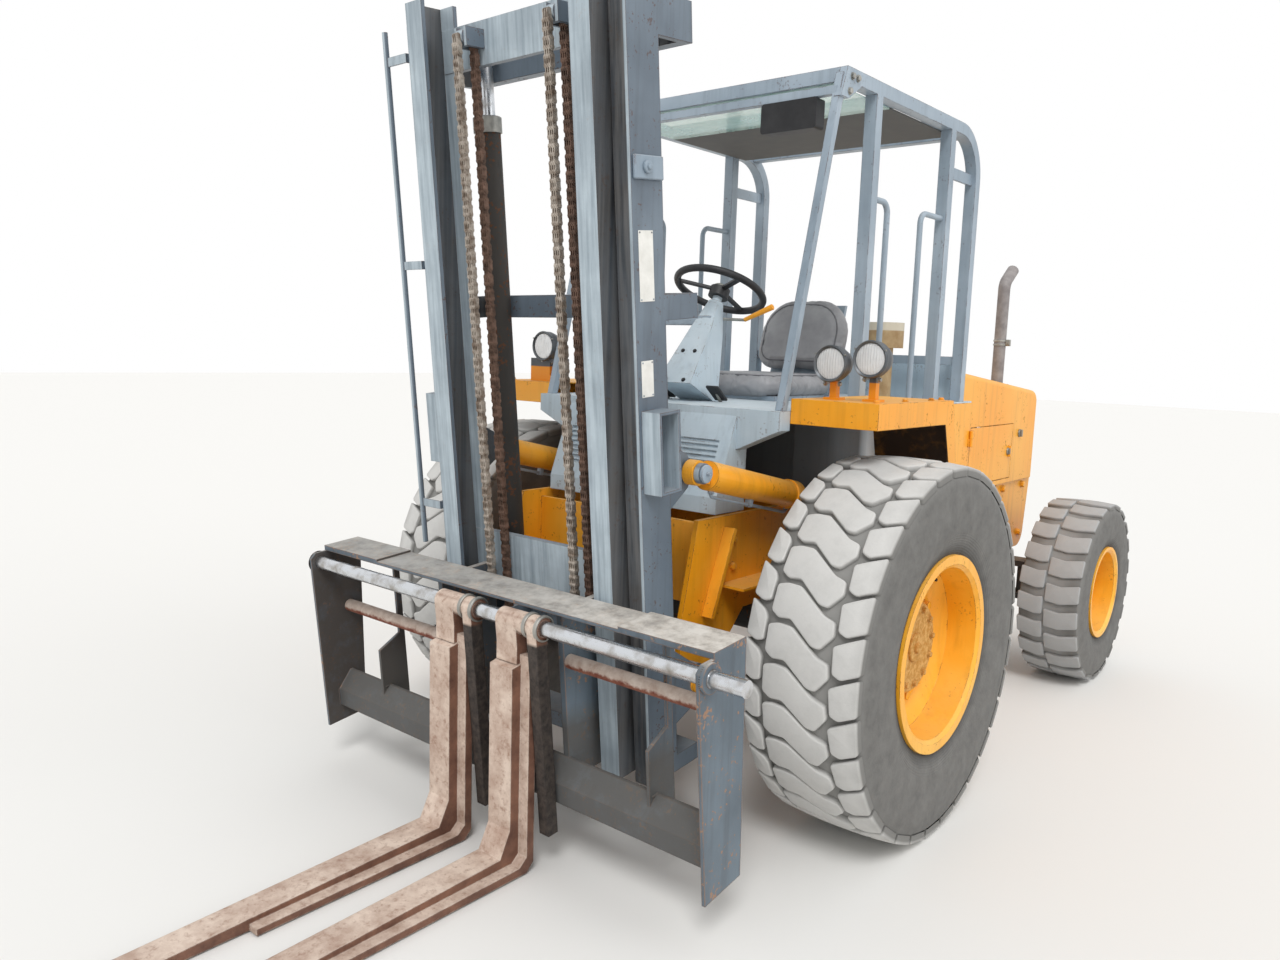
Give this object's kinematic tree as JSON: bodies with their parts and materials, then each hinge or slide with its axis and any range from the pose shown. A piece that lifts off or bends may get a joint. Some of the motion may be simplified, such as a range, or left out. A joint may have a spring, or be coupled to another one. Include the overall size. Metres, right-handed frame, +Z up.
{
  "type": "rough terrain forklift",
  "caption": "Rough terrain forklift with an open operator's canopy, a two-stage chain mast, a wide carriage with sliding forks and rear steering wheels.",
  "frame": {"origin": "on the ground, at the middle of the machine's box in plan", "axes": "+Z up, the forks point along -Y, +X is the machine's left side"},
  "size_m": [2.2958, 5.2176, 2.8322],
  "materials": {
    "paint_yellow": "worn gloss",
    "paint_grey": "worn satin",
    "mast_steel": "worn satin",
    "dark_steel": "greasy",
    "fork_steel": "rusty",
    "chain_steel": "oily",
    "polished_rod": "polished",
    "front_rubber": "dusty",
    "seat_vinyl": "worn",
    "black_plastic": "matt",
    "roof_sheet": "matt",
    "tan_paint": "dusty",
    "exhaust_steel": "heat stained",
    "pane_glass": "dusty",
    "lamp_chrome": "bright"
  },
  "bodies": {
    "machine": {"front_axle": "dark_steel", "rear_axle": "dark_steel", "chassis_frame": "paint_yellow", "engine_block": "dark_steel", "counterweight": "paint_yellow", "hood": "paint_yellow", "platform": "paint_grey", "side_tanks": "paint_yellow", "fenders": "paint_yellow", "front_cowl": "paint_grey", "steering_column": "paint_grey", "seat_base": "dark_steel", "seat_pads": "seat_vinyl", "canopy_frame": "paint_grey", "roof_panel": "roof_sheet", "exhaust": "exhaust_steel", "pre_cleaner": "tan_paint", "work_lamps": "lamp_chrome", "drive_line": "dark_steel", "roof_glass": "pane_glass", "mirror_box": "black_plastic", "grab_rails": "paint_grey", "chassis_steps": "paint_yellow"},
    "front_wheel_left": {"front_rim_left": "paint_yellow", "front_tyre_left": "front_rubber"},
    "front_wheel_right": {"front_rim_right": "paint_yellow", "front_tyre_right": "front_rubber"},
    "steer_left": {"knuckle_left": "dark_steel"},
    "steer_right": {"knuckle_right": "dark_steel"},
    "rear_wheel_left": {"rear_rim_left": "paint_yellow", "rear_tyre_left": "front_rubber"},
    "rear_wheel_right": {"rear_rim_right": "paint_yellow", "rear_tyre_right": "front_rubber"},
    "steering": {"steering_wheel": "black_plastic"},
    "door_left": {"hood_door_left": "paint_yellow"},
    "door_right": {"hood_door_right": "paint_yellow"},
    "mast": {"mast_outer": "mast_steel", "mast_pipe": "mast_steel", "lift_barrels": "mast_steel", "chains_rear": "chain_steel"},
    "inner_mast": {"mast_inner": "mast_steel", "lift_rods": "polished_rod", "chains_front": "chain_steel"},
    "carriage": {"carriage_frame": "dark_steel", "stay_tubes": "fork_steel", "fork_shaft": "polished_rod"},
    "left_fork": {"fork_left": "fork_steel"},
    "right_fork": {"fork_right": "fork_steel"},
    "tilt_cylinders": {"tilt_barrels": "paint_yellow"},
    "tilt_pistons": {"tilt_rods": "polished_rod"}
  },
  "joints": [
    {"name": "front_left_roll", "type": "hinge", "parent": "machine", "child": "front_wheel_left", "pos_m": [0.9325, -0.17375, 0.675], "axis": [1, 0, 0], "continuous": true},
    {"name": "front_right_roll", "type": "hinge", "parent": "machine", "child": "front_wheel_right", "pos_m": [-0.9325, -0.17375, 0.675], "axis": [1, 0, 0], "continuous": true},
    {"name": "steer_left_turn", "type": "hinge", "parent": "machine", "child": "steer_left", "pos_m": [0.65, 2.12625, 0.4825], "axis": [0, 0, 1], "range_deg": [-35, 35]},
    {"name": "steer_right_turn", "type": "hinge", "parent": "machine", "child": "steer_right", "pos_m": [-0.65, 2.12625, 0.4825], "axis": [0, 0, 1], "range_deg": [-35, 35]},
    {"name": "rear_left_roll", "type": "hinge", "parent": "steer_left", "child": "rear_wheel_left", "pos_m": [0.909, 2.12625, 0.4825], "axis": [1, 0, 0], "continuous": true},
    {"name": "rear_right_roll", "type": "hinge", "parent": "steer_right", "child": "rear_wheel_right", "pos_m": [-0.909, 2.12625, 0.4825], "axis": [1, 0, 0], "continuous": true},
    {"name": "steering_turn", "type": "hinge", "parent": "machine", "child": "steering", "pos_m": [0, -0.03975, 1.955], "axis": [0, 0.4226, 0.9063], "range_deg": [-720, 720]},
    {"name": "door_left_swing", "type": "hinge", "parent": "machine", "child": "door_left", "pos_m": [0.5593, 1.37725, 1.21], "axis": [0, 0, -1], "range_deg": [0, 110]},
    {"name": "door_right_swing", "type": "hinge", "parent": "machine", "child": "door_right", "pos_m": [-0.5593, 1.37725, 1.21], "axis": [0, 0, 1], "range_deg": [0, 110]},
    {"name": "mast_tilt", "type": "hinge", "parent": "machine", "child": "mast", "pos_m": [0, -0.77375, 0.56], "axis": [1, 0, 0], "range_deg": [-17.6, 4.4]},
    {"name": "mast_lift", "type": "slide", "parent": "mast", "child": "inner_mast", "axis": [0, -0.0976, 0.9952], "range_m": [0, 1.5], "deforming": ["chains_rear"]},
    {"name": "carriage_lift", "type": "slide", "parent": "inner_mast", "child": "carriage", "axis": [0, -0.0976, 0.9952], "range_m": [0, 1.5], "deforming": ["chains_front"]},
    {"name": "left_fork_shift", "type": "slide", "parent": "carriage", "child": "left_fork", "axis": [1, 0, 0], "range_m": [-0.05, 0.61]},
    {"name": "right_fork_shift", "type": "slide", "parent": "carriage", "child": "right_fork", "axis": [1, 0, 0], "range_m": [-0.745, 0.05]},
    {"name": "tilt_cylinder_swing", "type": "hinge", "parent": "mast", "child": "tilt_cylinders", "pos_m": [0, -0.87529, 1.30866], "axis": [1, 0, 0], "range_deg": [-3.55, 14.17]},
    {"name": "tilt_rod_slide", "type": "slide", "parent": "tilt_cylinders", "child": "tilt_pistons", "axis": [0, 0.9773, -0.2119], "range_m": [-0.224, 0.0561]}
  ],
  "couplings": [
    {"joint": "steer_right_turn", "follows": "steer_left_turn", "ratio": 1},
    {"joint": "carriage_lift", "follows": "mast_lift", "ratio": 1},
    {"joint": "tilt_cylinder_swing", "follows": "mast_tilt", "ratio": -0.80426},
    {"joint": "tilt_rod_slide", "follows": "mast_tilt", "m_per_rad": 0.72904}
  ]
}
